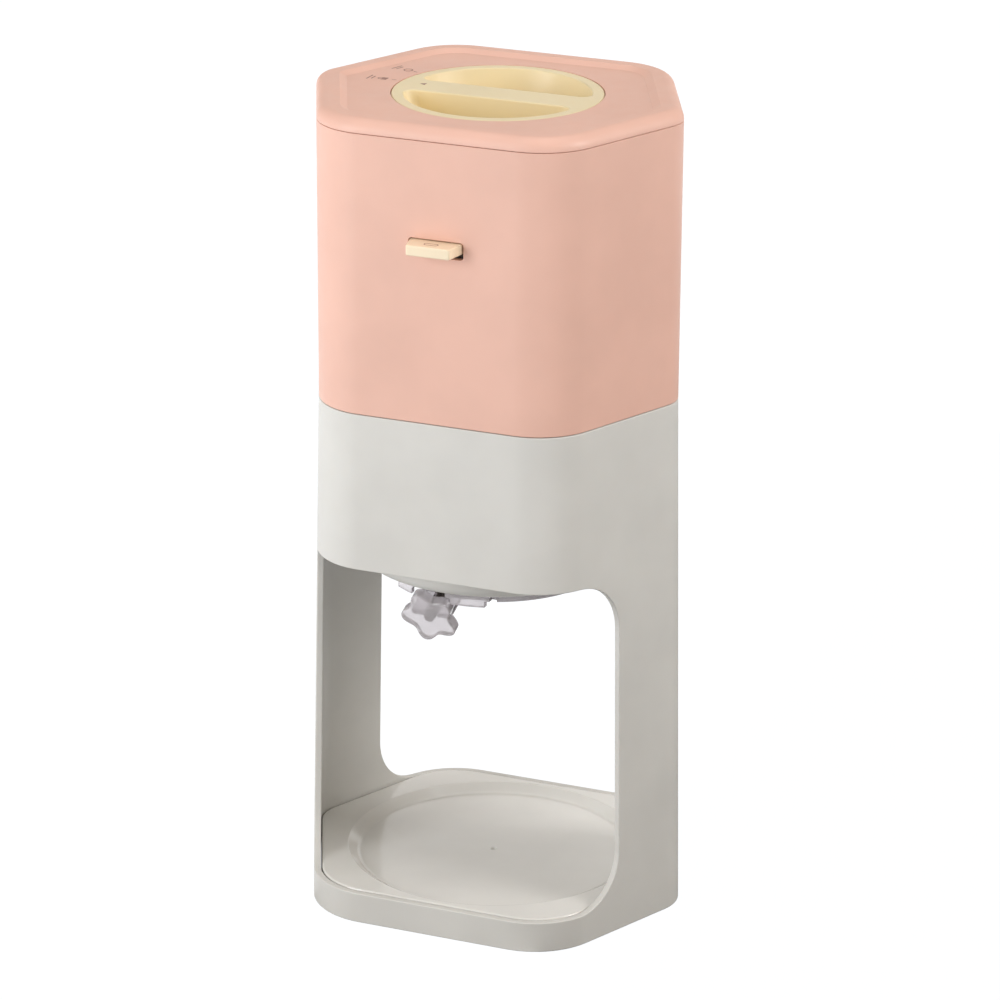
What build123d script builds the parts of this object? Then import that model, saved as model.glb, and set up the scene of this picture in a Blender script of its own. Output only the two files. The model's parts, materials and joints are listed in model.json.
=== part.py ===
"""Shaved ice maker: a tall hexagonal kitchen appliance that stands on two legs over a serving tray.

Ice goes in under the round cap, a spring presses it down, a geared drum turns it over a fixed blade,
and the shavings fall through the clear blade case into a bowl on the tray.

Frame: +Z up, -Y is the front with the switch lever, +X is the right side seen from the front.
The origin is on the drum's axis, on the surface that the feet stand on. Millimetres.
"""
from build123d import *
from math import cos, radians, sin, tan
import os

os.makedirs("parts", exist_ok=True)

# ---- Driving dimensions: outline of the body in plan, at the seam between white and pink ----
HALF_WIDTH = 77.5
HALF_DEPTH = 62.75
SIDE_ANGLE = 24.17
FRONT_RADIUS = 26.3
SIDE_RADIUS = 14.3
WALL = 2.8
FLARE = 0.0191

# ---- Heights ----
STAND_FOOT = 0.5
TRAY_TOP = 13.2
WINDOW_TOP = 152.8
SEAM = 217.3
COVER_SEAM = 330.4
RIM_TOP = 335.8
PANEL_TOP = 334.4

# ---- Windows between the legs ----
LEG_EDGE_Y = 30.5
WINDOW_RADIUS = 22.0

# ---- Fits ----
GAP = 0.3
RUN = 0.06
CHASSIS_GAP = 0.6

# ---- Drum train ----
DRUM_INNER = 35.0
DRUM_OUTER = 38.0
DRUM_LOW = 147.4
DRUM_HIGH = 314.0
GEAR_MODULE = 1.5
RING_TEETH = 60
PINION_TEETH = 18
GEAR_LOW = 190.0
GEAR_HIGH = 197.0
MOTOR_X = GEAR_MODULE * (RING_TEETH + PINION_TEETH) / 2

# ---- Blade adjuster: a screw that points forwards and down ----
SCREW_TILT = 20.0
SCREW_X = -11.5
SCREW_Y = -43.0
SCREW_Z = 127.5
SCREW_RADIUS = 2.0

# ---- Cap ----
CAP_RADIUS = 41.6
CUP_RADIUS = 37.6
CUP_LOW = 316.0

# ---- Switch lever ----
LEVER_Z = 289.4
LEVER_THICK = 4.2
LEVER_PIN_Y = -51.0


def save(part, name):
    """Label a finished piece and write it as one STEP file."""
    part.label = name
    export_step(part, f"parts/{name}.step")


def corner_points(grow):
    """Sharp corners of the plan hexagon with every face moved outwards by grow."""
    width = HALF_WIDTH + grow / cos(radians(SIDE_ANGLE))
    depth = HALF_DEPTH + grow
    front = width - depth * tan(radians(SIDE_ANGLE))
    return [(width, 0), (front, depth), (-front, depth), (-width, 0), (-front, -depth), (front, -depth)]


def outline(height, grow):
    """Rounded plan hexagon at a height, as a sketch."""
    with BuildSketch(Plane.XY.offset(height), mode=Mode.PRIVATE) as plan:
        with BuildLine():
            Polyline(*corner_points(grow), close=True)
        make_face()
        side_corners = plan.vertices().filter_by(lambda v: abs(v.Y) < 1)
        fillet(side_corners, SIDE_RADIUS + grow)
        front_corners = plan.vertices().filter_by(lambda v: abs(v.Y) > HALF_DEPTH / 2)
        fillet(front_corners, FRONT_RADIUS + grow)
    return plan.sketch


def flare(height):
    """How far the white faces stand outwards of the seam outline at a height."""
    return FLARE * (SEAM - height)


def taper_block(low, high, inset=0, mode=Mode.ADD):
    """Hexagonal block that follows the flare of the white stand, moved inwards by inset."""
    sections = [outline(low, flare(low) - inset), outline(high, flare(high) - inset)]
    loft(sections, ruled=True, mode=mode)


def plate(low, high, grow, mode=Mode.ADD):
    """Straight hexagonal plate between two heights."""
    extrude(outline(low, grow), amount=high - low, mode=mode)


def disc(low, high, radius, places=((0, 0),), mode=Mode.ADD):
    """Upright round bars between two heights, one at each place."""
    with BuildSketch(Plane.XY.offset(low), mode=Mode.PRIVATE) as section:
        with Locations(*places):
            Circle(radius)
    extrude(section.sketch, amount=high - low, mode=mode)


def ring(low, high, inner, outer, mode=Mode.ADD):
    """Ring about the drum's axis."""
    with BuildSketch(Plane.XY.offset(low), mode=Mode.PRIVATE) as section:
        Circle(outer)
        Circle(inner, mode=Mode.SUBTRACT)
    extrude(section.sketch, amount=high - low, mode=mode)


def four(x, y):
    """The four places at plus and minus x and y."""
    return [(x, y), (-x, y), (-x, -y), (x, -y)]


# ======================= White stand =======================
def side_frame(side, front):
    """Plane on one side face, x along the face away from the leg, z outwards."""
    normal = Vector(side * cos(radians(SIDE_ANGLE)), front * sin(radians(SIDE_ANGLE)), 0)
    along = Vector(-side * sin(radians(SIDE_ANGLE)), front * cos(radians(SIDE_ANGLE)), 0)
    edge_x = HALF_WIDTH - LEG_EDGE_Y * tan(radians(SIDE_ANGLE))
    return Plane(origin=(side * edge_x, front * LEG_EDGE_Y, 0), x_dir=along, z_dir=normal)


SWATH = 60.0
SWATH_DEPTH = 13.0
FRONT_CUT_HALF = 46.0

with BuildPart() as stand:
    taper_block(STAND_FOOT, SEAM - GAP / 2)
    taper_block(STAND_FOOT - 1, SEAM + 1, WALL, mode=Mode.SUBTRACT)
    for side in (-1, 1):
        for front in (-1, 1):
            plane = side_frame(side, front)
            up = plane.y_dir.Z
            middle = up * (TRAY_TOP + WINDOW_TOP) / 2
            with BuildSketch(plane.offset(-SWATH_DEPTH)):
                with Locations((SWATH / 2, middle)):
                    RectangleRounded(SWATH, WINDOW_TOP - TRAY_TOP, WINDOW_RADIUS)
            extrude(amount=SWATH_DEPTH + 8, mode=Mode.SUBTRACT)
    with Locations((0, 0, (TRAY_TOP + WINDOW_TOP) / 2)):
        Box(2 * FRONT_CUT_HALF, 3 * HALF_DEPTH, WINDOW_TOP - TRAY_TOP, mode=Mode.SUBTRACT)
save(stand.part, "stand")


# ======================= Base =======================
TRAY_LOW = TRAY_TOP - 3.2
BASE_FLOOR = 1.0
BASE_SKIN = 2.2
DISH_RADIUS = 60.5
DISH_FLOOR = TRAY_TOP - 2.8
DISH_WALL = 4.5
DISH_CORNER = 3.0
TRAY_RAISE = 0.4
TRAY_ROUND = 0.8
TRAY_SKIRT = 1.6
TRAY_POCKET = 0.3
TRAY_EDGE_GAP = 0.5
GATE_RADIUS = 1.8
GATE_DEPTH = 0.6
BASE_SCREWS = four(50, 40)
BOSS_RADIUS = 3.6
BOSS_HOLE = 1.25
BASE_HEAD_RADIUS = 2.7
BASE_SHANK_RADIUS = 1.2
SCREW_CLEAR = 0.2

with BuildPart() as tray:
    plate(TRAY_LOW - TRAY_SKIRT, TRAY_TOP + TRAY_RAISE, flare(TRAY_TOP) - WALL - TRAY_EDGE_GAP)
    with BuildSketch(Plane.XZ) as dish_cut:
        with BuildLine():
            Polyline((0, DISH_FLOOR), (DISH_RADIUS - DISH_WALL, DISH_FLOOR),
                     (DISH_RADIUS, TRAY_TOP + TRAY_RAISE), (DISH_RADIUS, TRAY_TOP + 1),
                     (0, TRAY_TOP + 1), close=True)
        make_face()
        wall_foot = dish_cut.vertices().group_by(Axis.Y)[0].sort_by(Axis.X)[-1]
        fillet(wall_foot, DISH_CORNER)
    revolve(axis=Axis.Z, mode=Mode.SUBTRACT)
    fillet(tray.faces().sort_by(Axis.Z)[-1].edges(), TRAY_ROUND)
    with Locations((0, 0, DISH_FLOOR + GATE_RADIUS - GATE_DEPTH)):
        Sphere(GATE_RADIUS, mode=Mode.SUBTRACT)
    pocket_low = TRAY_LOW - TRAY_SKIRT
    plate(pocket_low, pocket_low + TRAY_POCKET, flare(TRAY_TOP) - 3 * WALL, mode=Mode.SUBTRACT)
    disc(BASE_FLOOR + BASE_SKIN, TRAY_LOW - 1, BOSS_RADIUS, BASE_SCREWS)
    disc(BASE_FLOOR + BASE_SKIN, TRAY_LOW - 1, BOSS_HOLE, BASE_SCREWS, mode=Mode.SUBTRACT)
save(tray.part, "tray")

with BuildPart() as base_plate:
    plate(BASE_FLOOR, BASE_FLOOR + BASE_SKIN, flare(0) - WALL - GAP)
    shank_clear = BASE_SHANK_RADIUS + 2 * SCREW_CLEAR
    disc(BASE_FLOOR, BASE_FLOOR + BASE_SKIN, shank_clear, BASE_SCREWS, mode=Mode.SUBTRACT)
    disc(BASE_FLOOR, BASE_FLOOR + 1, BASE_HEAD_RADIUS + SCREW_CLEAR, BASE_SCREWS, mode=Mode.SUBTRACT)
save(base_plate.part, "base_plate")

with BuildPart() as base_screws:
    disc(BASE_FLOOR + 0.1, BASE_FLOOR + 1, BASE_HEAD_RADIUS, BASE_SCREWS)
    disc(BASE_FLOOR + 1, TRAY_LOW - 2.2, BASE_SHANK_RADIUS, BASE_SCREWS)
save(base_screws.part, "base_screws")

FEET = four(36, 44) + [(64, 0), (-64, 0), (0, 0)]
FOOT_RADIUS = 6.5
FOOT_CHAMFER = 0.3
with BuildPart() as feet:
    disc(0, BASE_FLOOR, FOOT_RADIUS, FEET)
    chamfer(feet.faces().group_by(Axis.Z)[0].edges(), FOOT_CHAMFER)
save(feet.part, "feet")

# ======================= Underside of the body =======================
DOME_LOW = 143.3
DOME_RADIUS = 58.5
DOME_OUTSIDE = [(50.0, DOME_LOW), (55.6, 145.6), (DOME_RADIUS, 150.2)]
DOME_INSIDE = [(56.0, 151.0), (53.6, 147.7), (50.0, 146.0)]
DECK_LOW = WINDOW_TOP
DECK_HIGH = DECK_LOW + 2.4
SOCKET_INNER = 38.9
SOCKET_OUTER = 41.6
SOCKET_TOP = 171.2
POSTS = four(44, 44)
POST_RADIUS = 4.2
POST_HOLE = 1.3
SCREW_HEAD = 2.8

with BuildPart() as under_cover:
    plate(DECK_LOW, DECK_HIGH, -WALL - CHASSIS_GAP)
    with BuildSketch(Plane.XZ):
        with BuildLine():
            Line((SOCKET_INNER, DOME_LOW), DOME_OUTSIDE[0])
            ThreePointArc(*DOME_OUTSIDE)
            Polyline(DOME_OUTSIDE[-1], (DOME_RADIUS, DECK_LOW + 1), (DOME_INSIDE[0][0], DECK_LOW + 1),
                     DOME_INSIDE[0])
            ThreePointArc(*DOME_INSIDE)
            Polyline(DOME_INSIDE[-1], (SOCKET_OUTER, DOME_INSIDE[-1][1]), (SOCKET_OUTER, SOCKET_TOP),
                     (SOCKET_INNER, SOCKET_TOP), (SOCKET_INNER, DOME_LOW))
        make_face()
    revolve(axis=Axis.Z)
    disc(DECK_LOW - 1, DECK_HIGH + 1, DOME_INSIDE[0][0] - 0.1, mode=Mode.SUBTRACT)
    ring(DECK_LOW - 1.5, SOCKET_TOP, SOCKET_INNER, SOCKET_OUTER)
    disc(DECK_LOW - 1, DECK_HIGH + 1, POST_HOLE + 2 * SCREW_CLEAR, POSTS, mode=Mode.SUBTRACT)
save(under_cover.part, "under_cover")

# ======================= Chassis inside the body =======================
LOWER_PLATE = (181.0, 183.5)
UPPER_PLATE = (199.5, 202.0)
FLANGE = (176.0, 179.0)
BEARING = (SOCKET_TOP, 175.7)
SLEEVE_INNER = 39.2
SLEEVE_OUTER = 41.2
SLEEVE_TOP = 316.8
SPACERS = four(40, 43)
SPACER_RADIUS = 3.4
DRUM_CLEAR_RADIUS = 45.0
BEARING_WIDTH = 6.0
SHAFT_RADIUS = 3.0
CELL_RADIUS = 9.2
CELL_PLACES = [(-57.5, 10), (-57.5, -10)]
CELL_LOW = 207.0
CELL_HIGH = 272.0
CELL_BUTTON = 3.0
HOLDER_SIZE = (21.0, 42.0)
HOLDER_CORNER = 6.0
HOLDER_LIP = 5.0

with BuildPart() as deck_posts:
    disc(DECK_HIGH, LOWER_PLATE[0], POST_RADIUS, POSTS)
    disc(DECK_HIGH, DECK_HIGH + 9, POST_HOLE, POSTS, mode=Mode.SUBTRACT)
save(deck_posts.part, "deck_posts")

with BuildPart() as deck_screws:
    disc(DECK_LOW - 1.4, DECK_LOW, SCREW_HEAD, POSTS)
    disc(DECK_LOW, DECK_HIGH + 8, POST_HOLE - 0.1, POSTS)
save(deck_screws.part, "deck_screws")

with BuildPart() as drum_bearing:
    ring(BEARING[0], BEARING[1], DRUM_OUTER + RUN, DRUM_OUTER + BEARING_WIDTH)
save(drum_bearing.part, "drum_bearing")

with BuildPart() as lower_chassis:
    plate(LOWER_PLATE[0], LOWER_PLATE[1], -WALL - CHASSIS_GAP)
    disc(LOWER_PLATE[0] - 1, LOWER_PLATE[1] + 1, DRUM_CLEAR_RADIUS, mode=Mode.SUBTRACT)
save(lower_chassis.part, "lower_chassis")

with BuildPart() as gear_spacers:
    disc(LOWER_PLATE[1], UPPER_PLATE[0], SPACER_RADIUS, SPACERS)
save(gear_spacers.part, "gear_spacers")

with BuildPart() as upper_chassis:
    plate(UPPER_PLATE[0], UPPER_PLATE[1], -WALL - CHASSIS_GAP)
    disc(UPPER_PLATE[0] - 1, UPPER_PLATE[1] + 1, SLEEVE_INNER, mode=Mode.SUBTRACT)
    disc(UPPER_PLATE[0] - 1, UPPER_PLATE[1] + 1, SHAFT_RADIUS + 1, [(MOTOR_X, 0)], mode=Mode.SUBTRACT)
save(upper_chassis.part, "upper_chassis")

with BuildPart() as splash_sleeve:
    ring(UPPER_PLATE[1], SLEEVE_TOP, SLEEVE_INNER, SLEEVE_OUTER)
save(splash_sleeve.part, "splash_sleeve")

# ======================= Drum and gears =======================
TOOTH_TIP = 0.72
TOOTH_ROOT = 0.95
TIP_STEP = 0.12
ROOT_STEP = 0.34
RIB_PLACES = 4
RIB_HEIGHT = 1.8
RIB_WIDTH = 3.0
FLANGE_WIDTH = 5.0


def gear_outline(teeth, start):
    """Straight-flanked gear outline about the origin, with one tooth at the start angle."""
    pitch = GEAR_MODULE * teeth / 2
    tip = pitch + TOOTH_TIP * GEAR_MODULE
    root = pitch - TOOTH_ROOT * GEAR_MODULE
    step = 360 / teeth
    points = []
    for tooth in range(teeth):
        middle = start + tooth * step
        for reach, part_step in ((root, -ROOT_STEP), (tip, -TIP_STEP), (tip, TIP_STEP), (root, ROOT_STEP)):
            angle = radians(middle + part_step * step)
            points.append((reach * cos(angle), reach * sin(angle)))
    return points


def gear_blank(teeth, start, bore, at=(0, 0)):
    """Spur gear between the gear heights with a round bore."""
    with BuildSketch(Plane.XY.offset(GEAR_LOW), mode=Mode.PRIVATE) as face:
        with Locations(at):
            Polygon(*gear_outline(teeth, start), align=None)
            Circle(bore, mode=Mode.SUBTRACT)
    extrude(face.sketch, amount=GEAR_HIGH - GEAR_LOW)


with BuildPart() as ice_drum:
    ring(DRUM_LOW, DRUM_HIGH, DRUM_INNER, DRUM_OUTER)
    ring(FLANGE[0], FLANGE[1], DRUM_INNER, DRUM_OUTER + FLANGE_WIDTH)
    with BuildSketch(Plane.XY.offset(DRUM_LOW + 1)) as ribs:
        with PolarLocations(DRUM_INNER - 0.4, RIB_PLACES, start_angle=45):
            Rectangle(RIB_HEIGHT, RIB_WIDTH)
    extrude(amount=DRUM_HIGH - DRUM_LOW - 5)
save(ice_drum.part, "ice_drum")

with BuildPart() as ring_gear:
    gear_blank(RING_TEETH, 0, DRUM_OUTER)
save(ring_gear.part, "ring_gear")

with BuildPart() as motor_pinion:
    gear_blank(PINION_TEETH, 180 + 180 / PINION_TEETH, SHAFT_RADIUS - 1, (MOTOR_X, 0))
    disc(GEAR_LOW - 1.5, UPPER_PLATE[1] + 1.5, SHAFT_RADIUS, [(MOTOR_X, 0)])
save(motor_pinion.part, "motor_pinion")

# ======================= Motor, cells and electronics =======================
GEARBOX = (UPPER_PLATE[1], 226.0)
MOTOR_TOP = 262.0
MOTOR_RADIUS = 10.6
MOTOR_PLACE = [(MOTOR_X + 0.5, 0)]
MOTOR_CAP_RADIUS = 4.0
MOTOR_CAP = 2.5
MOTOR_ROUND = 0.8

with BuildPart() as gearbox:
    disc(GEARBOX[0], GEARBOX[1], MOTOR_RADIUS + 0.6, MOTOR_PLACE)
    disc(GEARBOX[0] - 1, GEARBOX[0] + 3, SHAFT_RADIUS + RUN, [(MOTOR_X, 0)], mode=Mode.SUBTRACT)
save(gearbox.part, "gearbox")

with BuildPart() as motor:
    disc(GEARBOX[1], MOTOR_TOP, MOTOR_RADIUS, MOTOR_PLACE)
    disc(MOTOR_TOP, MOTOR_TOP + MOTOR_CAP, MOTOR_CAP_RADIUS, MOTOR_PLACE)
    fillet(motor.faces().sort_by(Axis.Z)[-2:].edges(), MOTOR_ROUND)
save(motor.part, "motor")

with BuildPart() as cell_holder:
    with BuildSketch(Plane.XY.offset(UPPER_PLATE[1])):
        with Locations((CELL_PLACES[0][0], 0)):
            RectangleRounded(*HOLDER_SIZE, HOLDER_CORNER)
    extrude(amount=CELL_LOW - UPPER_PLATE[1] + HOLDER_LIP)
    disc(CELL_LOW, CELL_HIGH, CELL_RADIUS, CELL_PLACES, mode=Mode.SUBTRACT)
    plate(UPPER_PLATE[0], CELL_HIGH, -WALL - 2, mode=Mode.INTERSECT)
save(cell_holder.part, "cell_holder")

with BuildPart() as battery_cells:
    disc(CELL_LOW, CELL_HIGH, CELL_RADIUS - 0.1, CELL_PLACES)
    chamfer(battery_cells.faces().group_by(Axis.Z)[-1].edges(), MOTOR_ROUND)
    disc(CELL_HIGH, CELL_HIGH + 1, CELL_BUTTON, CELL_PLACES)
save(battery_cells.part, "battery_cells")

BOARD_Y = 50.0
BOARD_Z = 240.0
BOARD_SIZE = (46.0, 1.6, 44.0)
BOARD_BACK = BOARD_Y + BOARD_SIZE[1]
CHIP_SIZE = (9.0, 2.8, 7.0)
CHIP_PLACES = [(-14.0, 250.0), (12.0, 246.0), (-2.0, 230.0)]
CAPACITOR_PLACE = (14.0, 228.0)
CAPACITOR_RADIUS = 3.0
CAPACITOR_LENGTH = 4.4
with BuildPart() as circuit_board:
    with Locations((0, BOARD_Y + BOARD_SIZE[1] / 2, BOARD_Z)):
        Box(*BOARD_SIZE)
    for chip_x, chip_z in CHIP_PLACES:
        with Locations((chip_x, BOARD_Y - CHIP_SIZE[1] / 2, chip_z)):
            Box(*CHIP_SIZE)
    with Locations((CAPACITOR_PLACE[0], BOARD_Y - CAPACITOR_LENGTH / 2, CAPACITOR_PLACE[1])):
        Cylinder(CAPACITOR_RADIUS, CAPACITOR_LENGTH, rotation=(90, 0, 0))
save(circuit_board.part, "circuit_board")

SOCKET_Z = 232.0
SOCKET_SIZE = (9.2, 3.4)
SOCKET_SKIN = 0.4
SOCKET_RECESS = 5.0
PORT_SIZE = (12.4, 6.6)
with BuildPart() as charging_socket:
    with BuildSketch(Plane.XZ.offset(-BOARD_BACK)):
        with Locations((0, SOCKET_Z)):
            SlotOverall(*SOCKET_SIZE)
    extrude(amount=BOARD_BACK + SOCKET_SKIN - HALF_DEPTH)
    with BuildSketch(Plane.XZ.offset(-HALF_DEPTH)):
        with Locations((0, SOCKET_Z)):
            SlotOverall(SOCKET_SIZE[0] - 2 * SOCKET_SKIN, SOCKET_SIZE[1] - 2 * SOCKET_SKIN)
    extrude(amount=SOCKET_RECESS, mode=Mode.SUBTRACT)
save(charging_socket.part, "charging_socket")

# ======================= Pink housing =======================
SLOT_HALF = 11.3
SLOT_LOW = 285.1
SLOT_HIGH = 291.9
SLOT_CORNER = 1.2
CUT_DEPTH = 10.0
TONGUE_LOW = SEAM - 6
TONGUE_HIGH = SEAM + 4
TONGUE_THICK = 1.25
TONGUE_GAP = 0.35

with BuildPart() as upper_housing:
    plate(SEAM + GAP / 2, COVER_SEAM - GAP / 2, 0)
    plate(SEAM - 1, COVER_SEAM + 1, -WALL, mode=Mode.SUBTRACT)
    plate(TONGUE_LOW, TONGUE_HIGH, -WALL - TONGUE_GAP)
    plate(SEAM + GAP / 2, TONGUE_HIGH, -WALL + 0.2)
    plate(TONGUE_LOW, TONGUE_HIGH, -WALL - TONGUE_GAP - TONGUE_THICK, mode=Mode.SUBTRACT)
    with BuildSketch(Plane.XZ.offset(HALF_DEPTH - CUT_DEPTH / 2)):
        with Locations((0, (SLOT_LOW + SLOT_HIGH) / 2)):
            RectangleRounded(2 * SLOT_HALF, SLOT_HIGH - SLOT_LOW, SLOT_CORNER)
    extrude(amount=CUT_DEPTH, mode=Mode.SUBTRACT)
    with BuildSketch(Plane.XZ.offset(-HALF_DEPTH - CUT_DEPTH / 2)):
        with Locations((0, SOCKET_Z)):
            SlotOverall(*PORT_SIZE)
    extrude(amount=CUT_DEPTH, mode=Mode.SUBTRACT)
save(upper_housing.part, "upper_housing")

COVER_LOW = COVER_SEAM + GAP / 2
PANEL_INSET = 10.5
PANEL_SLOPE = 1.6
RIM_ROUND = 4.9
COVER_TONGUE = 2.5
COVER_HOLLOW = 1.2
with BuildPart() as top_cover:
    plate(COVER_LOW, RIM_TOP, 0)
    fillet(top_cover.faces().sort_by(Axis.Z)[-1].edges(), RIM_ROUND)
    panel_low = outline(PANEL_TOP, -PANEL_INSET - PANEL_SLOPE)
    panel_high = outline(RIM_TOP + 0.1, -PANEL_INSET + PANEL_SLOPE)
    loft([panel_low, panel_high], ruled=True, mode=Mode.SUBTRACT)
    plate(COVER_LOW - COVER_TONGUE, COVER_LOW, -WALL - TONGUE_GAP)
    plate(COVER_LOW - COVER_TONGUE, COVER_LOW + COVER_HOLLOW, -WALL - 2, mode=Mode.SUBTRACT)
    disc(COVER_LOW - 1, RIM_TOP + 1, CAP_RADIUS + GAP, mode=Mode.SUBTRACT)
save(top_cover.part, "top_cover")

COVER_BOSSES = four(44, 42)
COVER_SHANK = 1.4
COVER_HEAD = (COVER_LOW - 10.6, COVER_LOW - 9)
with BuildPart() as cover_screws:
    disc(COVER_HEAD[1], COVER_LOW + COVER_HOLLOW, COVER_SHANK, COVER_BOSSES)
    disc(COVER_HEAD[0], COVER_HEAD[1], SCREW_HEAD, COVER_BOSSES)
save(cover_screws.part, "cover_screws")

THROAT_LOW = SLEEVE_TOP + 0.2
THROAT_INNER = 41.0
THROAT_WALL = 3.4
THROAT_SHELF = (THROAT_LOW + 7.6, THROAT_LOW + 10)
with BuildPart() as throat_ring:
    plate(THROAT_SHELF[0], THROAT_SHELF[1], -WALL - CHASSIS_GAP)
    disc(THROAT_SHELF[0], THROAT_SHELF[1], THROAT_INNER + 3, mode=Mode.SUBTRACT)
    ring(THROAT_LOW, COVER_LOW + 0.2, THROAT_INNER, THROAT_INNER + THROAT_WALL)
    disc(THROAT_SHELF[0], THROAT_SHELF[1], COVER_SHANK + SCREW_CLEAR, COVER_BOSSES, mode=Mode.SUBTRACT)
save(throat_ring.part, "throat_ring")

# ======================= Cap =======================
BAR_FRONT = -8.8
BAR_REAR = 6.6
RECESS_RADIUS = 37.0
RECESS_DEPTH = 13.0
RECESS_TAPER = 14.0
RECESS_CORNER = 4.0
SPINDLE_RADIUS = 4.0
SPINDLE_TOP = 327.0
FLANGE_THICK = 2.4
CAP_ROUND = 0.6
LUG_PLACES = 3
LUG_START = 30
LUG_SIZE = (5.6, 9.0)
LUG_THICK = 3.0
SEAL = (PANEL_TOP - FLANGE_THICK - 1.4, PANEL_TOP - FLANGE_THICK - 0.1)
SEAL_WIDTH = 2.5

with BuildPart() as finger_cutter:
    with BuildSketch(Plane.XY.offset(PANEL_TOP)):
        Circle(RECESS_RADIUS)
    extrude(amount=-RECESS_DEPTH, taper=RECESS_TAPER)
    with Locations((0, (BAR_FRONT + BAR_REAR) / 2, PANEL_TOP)):
        Box(3 * RECESS_RADIUS, BAR_REAR - BAR_FRONT, 3 * RECESS_DEPTH, mode=Mode.SUBTRACT)
    bar_ends = finger_cutter.edges().filter_by(lambda e: abs(e.center().Y) < 14 and abs(e.center().X) > 20)
    fillet(bar_ends, RECESS_CORNER)
    fillet(finger_cutter.faces().group_by(Axis.Z)[0].edges(), RECESS_CORNER - 1)

with BuildPart() as cap:
    disc(PANEL_TOP - FLANGE_THICK, PANEL_TOP, CAP_RADIUS)
    disc(CUP_LOW, PANEL_TOP - FLANGE_THICK, CUP_RADIUS)
    with BuildSketch(Plane.XY.offset(CUP_LOW + LUG_THICK)):
        with PolarLocations(CUP_RADIUS, LUG_PLACES, start_angle=LUG_START):
            Rectangle(*LUG_SIZE)
    extrude(amount=LUG_THICK)
    add(finger_cutter.part, mode=Mode.SUBTRACT)
    fillet(cap.faces().sort_by(Axis.Z)[-1].edges(), CAP_ROUND)
    disc(CUP_LOW - 1, SPINDLE_TOP + GAP, SPINDLE_RADIUS + RUN, mode=Mode.SUBTRACT)
save(cap.part, "cap")

with BuildPart() as cap_seal:
    ring(SEAL[0], SEAL[1], CUP_RADIUS + 0.1, CUP_RADIUS + 0.1 + SEAL_WIDTH)
save(cap_seal.part, "cap_seal")

# ======================= Ice presser under the cap =======================
SPINDLE_LOW = 228.0
SHAFT_LOW = 158.0
SHAFT_TOP = 266.0
SHAFT_OUTER = 7.0
SEAT_LOW = 196.0
PRESSER_RADIUS = 33.0
PRESSER_LOW = 152.0
PRESSER_THICK = 4.0
SPIKE_HIGH = 4.0
SPIKES = 8
SPRING_RADIUS = 9.6
SPRING_WIRE = 0.7
SPRING_TURNS = 9
HEAD_PIN_RADIUS = 3.0
HEAD_PIN_FLANGE = 4.5
HUB_RADIUS = 8.0
SPRING_SEAT = 11.0
SPIKE_RING = 22.0
SPIKE_RADII = (0.3, 1.5)
PLATE_CHAMFER = 0.8
PLATE_TOP = PRESSER_LOW + PRESSER_THICK

with BuildPart() as presser_spindle:
    disc(SPINDLE_LOW, SPINDLE_TOP, SPINDLE_RADIUS)
    disc(CUP_LOW - 3, CUP_LOW - GAP, SPRING_SEAT)
save(presser_spindle.part, "presser_spindle")

with BuildPart() as presser_shaft:
    disc(SHAFT_LOW, SHAFT_TOP, SHAFT_OUTER)
    disc(SEAT_LOW, SEAT_LOW + 2, SHAFT_OUTER + 5)
    disc(SHAFT_LOW + 20, SHAFT_TOP + 1, SPINDLE_RADIUS + RUN, mode=Mode.SUBTRACT)
    disc(PLATE_TOP - 3, SHAFT_LOW, HEAD_PIN_RADIUS)
    disc(PLATE_TOP - 3.4, PLATE_TOP - 2, HEAD_PIN_FLANGE)
save(presser_shaft.part, "presser_shaft")

with BuildPart() as presser_spring:
    spring_low = SEAT_LOW + 2 + SPRING_WIRE
    spring_high = CUP_LOW - 3 - SPRING_WIRE
    coil_height = spring_high - spring_low
    with BuildLine(Plane.XY.offset(spring_low)) as coil:
        Helix(pitch=coil_height / SPRING_TURNS, height=coil_height, radius=SPRING_RADIUS)
    with BuildSketch(Plane(origin=coil.line @ 0, z_dir=coil.line % 0)):
        Circle(SPRING_WIRE)
    sweep(path=coil.line)
save(presser_spring.part, "presser_spring")

with BuildPart() as presser_plate:
    disc(PRESSER_LOW, PLATE_TOP, PRESSER_RADIUS)
    disc(PLATE_TOP, SHAFT_LOW - GAP, HUB_RADIUS)
    disc(PRESSER_LOW, SHAFT_LOW, HEAD_PIN_RADIUS + RUN, mode=Mode.SUBTRACT)
    disc(PRESSER_LOW, PLATE_TOP - 1.8, HEAD_PIN_FLANGE + GAP, mode=Mode.SUBTRACT)
    chamfer(presser_plate.edges().filter_by(GeomType.CIRCLE).group_by(SortBy.RADIUS)[-1], PLATE_CHAMFER)
save(presser_plate.part, "presser_plate")

with BuildPart() as presser_spikes:
    with PolarLocations(0, SPIKES):
        with Locations((SPIKE_RING, 0, PRESSER_LOW - SPIKE_HIGH / 2)):
            Cone(*SPIKE_RADII, SPIKE_HIGH)
save(presser_spikes.part, "presser_spikes")

# ======================= Switch lever =======================
LEVER_FRONT = -71.3
LEVER_TAIL = -44.5
LEVER_HALF_FRONT = 8.9
LEVER_HALF_BACK = 10.7
CHEEK_HALF = 12.8
LEVER_SPRING_Y = -56.0
LEVER_SPRING_LOW = 280.6
LEVER_COIL_RADIUS = 2.2
LEVER_WIRE = 0.3
LEVER_TURNS = 4
LEVER_ROUND = 0.6
PIN_RADIUS = 1.5
HUB_OUTER = 3.2
CHEEK_THICK = 1.6
CHEEK_SIZE = (16.0, 26.0)
CHEEK_Z = 291.0
SHELF_SIZE = (15.0, 2.0)
SHELF_Z = 279.0
BRIDGE_PLACE = (-56.0, 303.2)
PEG_RADIUS = 1.1
SWITCH_SIZE = (19.8, 6.4, 9.0)
SWITCH_PLACE = (0, -47.6, 297.7)
SWITCH_PIN_RADIUS = 1.2
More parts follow.
